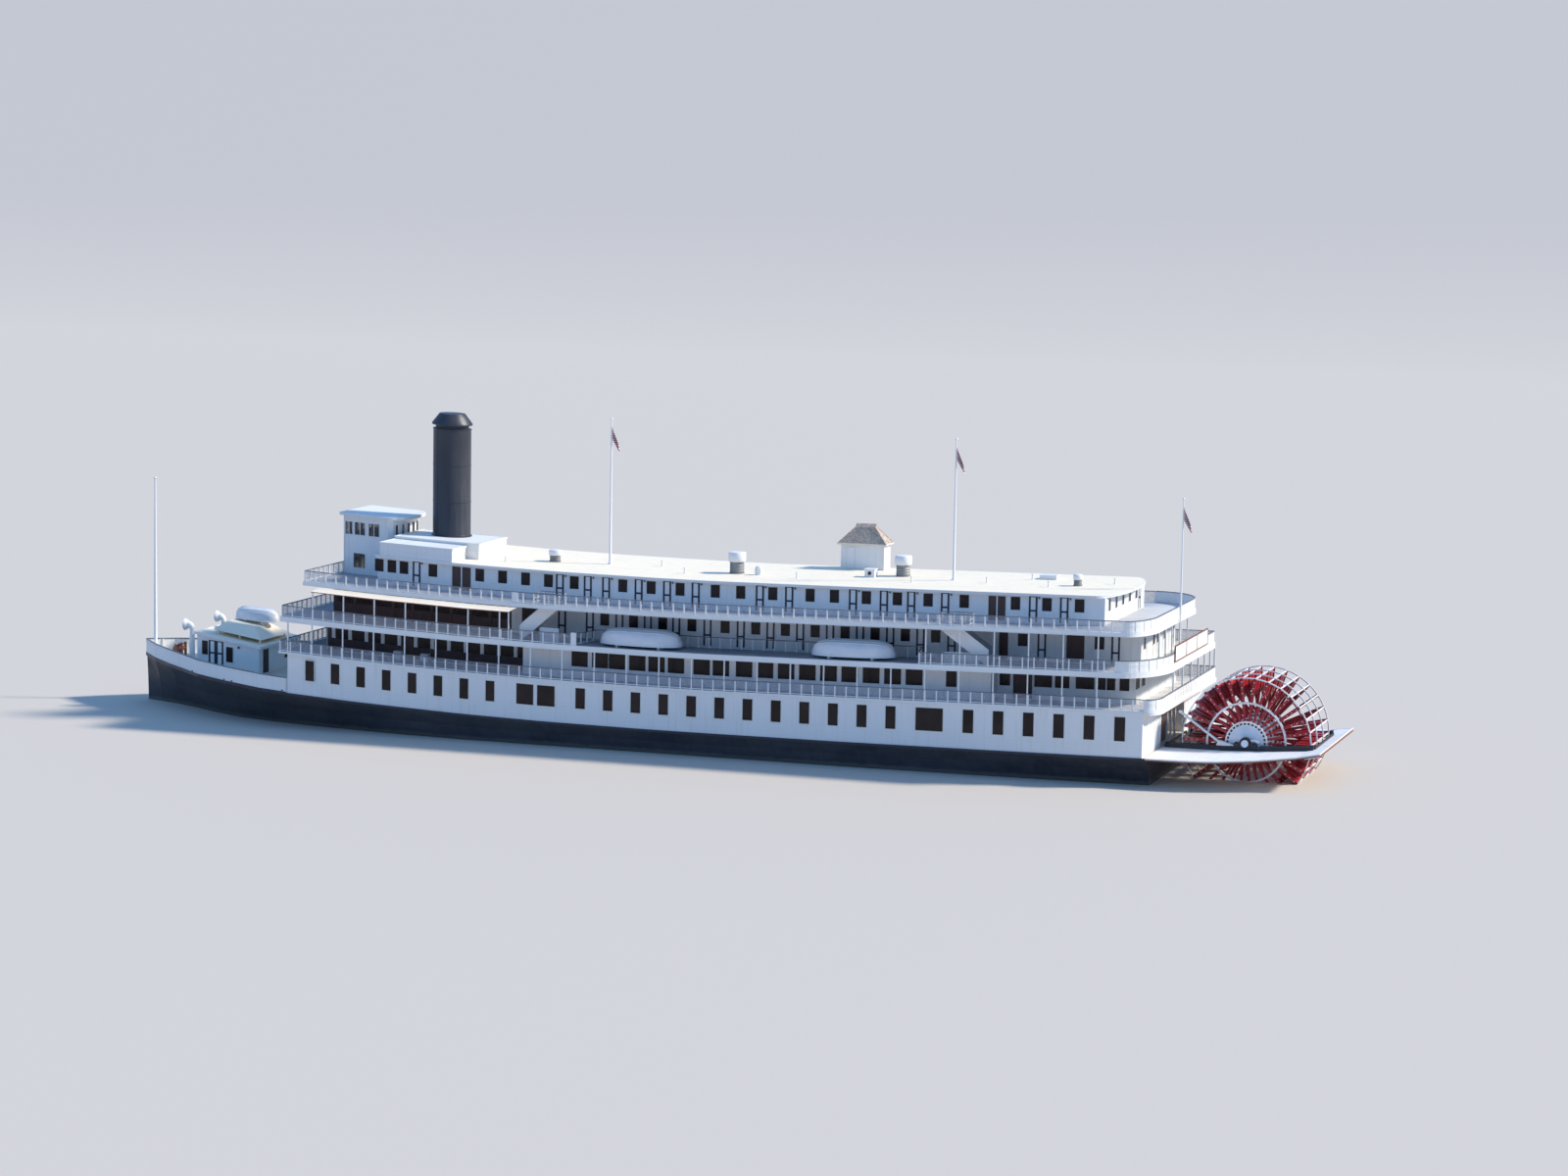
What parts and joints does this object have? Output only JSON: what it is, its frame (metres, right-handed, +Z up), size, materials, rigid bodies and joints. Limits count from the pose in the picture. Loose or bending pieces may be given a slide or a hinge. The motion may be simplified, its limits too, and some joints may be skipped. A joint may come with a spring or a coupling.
{
  "type": "sternwheel passenger paddle boat, 1:10 scale model",
  "caption": "Flat-bottomed river passenger boat with stacked promenade decks, a tall funnel and a turning red paddle wheel at the stern, as a 1:10 model.",
  "frame": {"origin": "middle of the boat's box, on the plane of its flat bottom", "axes": "+X towards the bow, +Y to port, +Z up; the waterline is 0.230 m above the bottom"},
  "size_m": [8.686, 1.768, 2.4099],
  "materials": {
    "white_paint": "gloss paint, weathered",
    "black_hull": "worn black paint",
    "cream_deck": "scrubbed planks",
    "roof_canvas": "painted roof canvas",
    "deck_coating": "matt deck coating",
    "wheel_red": "wet red paint",
    "funnel_grey": "satin dark grey",
    "shingle": "weathered shingles",
    "awning_canvas": "sun-bleached canvas",
    "gear_brown": "brown paint, worn"
  },
  "bodies": {
    "root": {"hull": "black_hull", "main_deck": "cream_deck", "fantail_port": "cream_deck", "fantail_starboard": "cream_deck", "fantail_beam": "cream_deck", "bow_bulwark": "white_paint", "wheel_timber_port": "black_hull", "wheel_timber_starboard": "black_hull", "main_house": "white_paint", "saloon_house": "white_paint", "observation_house": "white_paint", "texas_house": "white_paint", "forecastle_house": "white_paint", "saloon_deck": "deck_coating", "observation_deck": "deck_coating", "texas_deck": "deck_coating", "roof": "roof_canvas", "forecastle_roof": "roof_canvas", "saloon_rail_port": "white_paint", "saloon_rail_starboard": "white_paint", "saloon_rail_fore": "white_paint", "saloon_rail_aft": "white_paint", "observation_rail_port": "white_paint", "observation_rail_starboard": "white_paint", "observation_rail_fore": "white_paint", "observation_rail_aft": "white_paint", "texas_rail_port": "white_paint", "texas_rail_starboard": "white_paint", "texas_rail_fore": "white_paint", "texas_rail_aft": "white_paint", "awning_port": "awning_canvas", "awning_starboard": "awning_canvas", "pilothouse": "white_paint", "pilothouse_roof": "white_paint", "funnel_casing": "white_paint", "funnel": "funnel_grey", "jackstaff": "white_paint", "foremast": "white_paint", "mainmast": "white_paint", "stern_staff": "white_paint", "lifeboat_port_aft": "white_paint", "lifeboat_port_fore": "white_paint", "lifeboat_starboard_aft": "white_paint", "lifeboat_starboard_fore": "white_paint", "forecastle_boat": "white_paint", "cowl_port": "white_paint", "cowl_starboard": "white_paint", "windlass": "gear_brown", "penthouse": "white_paint", "penthouse_roof": "shingle", "roof_fan_fore": "white_paint", "roof_fan_middle": "white_paint", "roof_fan_aft": "white_paint", "roof_vent_aft": "white_paint"},
    "wheel": {"paddle_wheel": "wheel_red"},
    "rudder_centre": {"rudder_centre": "black_hull"},
    "rudder_port": {"rudder_port": "black_hull"},
    "rudder_starboard": {"rudder_starboard": "black_hull"},
    "pilothouse_door": {"pilothouse_door": "white_paint"}
  },
  "joints": [
    {"name": "wheel_turn", "type": "hinge", "parent": "root", "child": "wheel", "pos_m": [-3.807, 0, 0.485], "axis": [0, 1, 0], "continuous": true},
    {"name": "rudder_centre_turn", "type": "hinge", "parent": "root", "child": "rudder_centre", "pos_m": [-3.207, 0, 0.12], "axis": [0, 0, 1], "range_deg": [-35, 35]},
    {"name": "rudder_port_turn", "type": "hinge", "parent": "root", "child": "rudder_port", "pos_m": [-3.207, 0.36, 0.12], "axis": [0, 0, 1], "range_deg": [-35, 35]},
    {"name": "rudder_starboard_turn", "type": "hinge", "parent": "root", "child": "rudder_starboard", "pos_m": [-3.207, -0.36, 0.12], "axis": [0, 0, 1], "range_deg": [-35, 35]},
    {"name": "pilothouse_door_swing", "type": "hinge", "parent": "root", "child": "pilothouse_door", "pos_m": [2.475, -0.253, 1.35], "axis": [0, 0, 1], "range_deg": [0, 95]}
  ],
  "couplings": [
    {"joint": "rudder_port_turn", "follows": "rudder_centre_turn", "ratio": 1},
    {"joint": "rudder_starboard_turn", "follows": "rudder_centre_turn", "ratio": 1}
  ]
}
